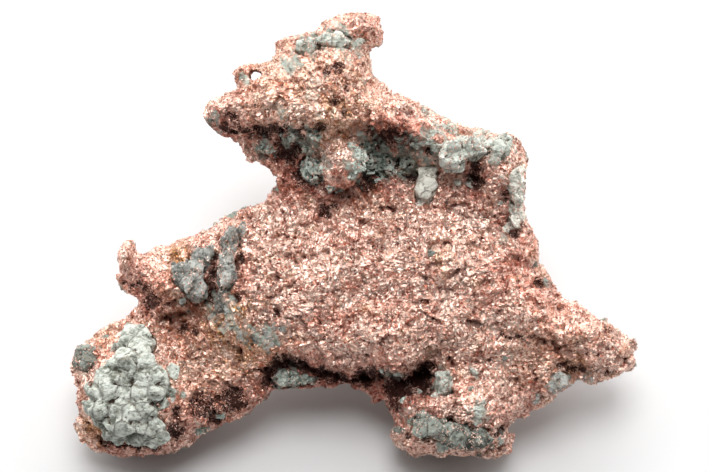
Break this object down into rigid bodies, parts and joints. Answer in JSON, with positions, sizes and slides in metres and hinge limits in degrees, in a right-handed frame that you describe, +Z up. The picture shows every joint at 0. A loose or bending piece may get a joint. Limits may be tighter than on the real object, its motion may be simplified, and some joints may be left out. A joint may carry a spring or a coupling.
{
  "type": "native copper nugget",
  "caption": "Knobbly nugget of bright natural copper with pale green-grey host rock gripped in its hollows, leaning back on two feet and a heel.",
  "frame": {"origin": "middle of the nugget's footprint, on the ground it stands on", "axes": "+X runs to the right along its length, from the left foot towards the pointed tail; +Y runs back, away from the side the broad face leans over; +Z is up"},
  "size_m": [0.1049, 0.0767, 0.0546],
  "materials": {
    "native_copper": "bright hackly natural copper with dark oxide in its recesses",
    "host_rock": "dull pale green-grey rock",
    "vein_rock": "dull dark blue-green rock"
  },
  "bodies": {
    "root": {"copper_mass": "native_copper", "rock_crust_left_foot": "host_rock", "rock_lump_left_edge": "host_rock", "rock_block_left": "host_rock", "rock_rib_left": "host_rock", "rock_vein_cleft": "vein_rock", "rock_vein_neck": "vein_rock", "rock_tongue": "host_rock", "rock_crust_shoulder": "host_rock", "rock_column_flank": "host_rock", "rock_smear_cap": "host_rock", "rock_toe": "host_rock", "rock_patch_middle_foot": "host_rock", "rock_lump_lower_edge": "vein_rock", "rock_grains_right": "host_rock", "rock_back_left": "host_rock", "rock_back_upper": "host_rock", "rock_back_tail": "host_rock"}
  },
  "joints": []
}
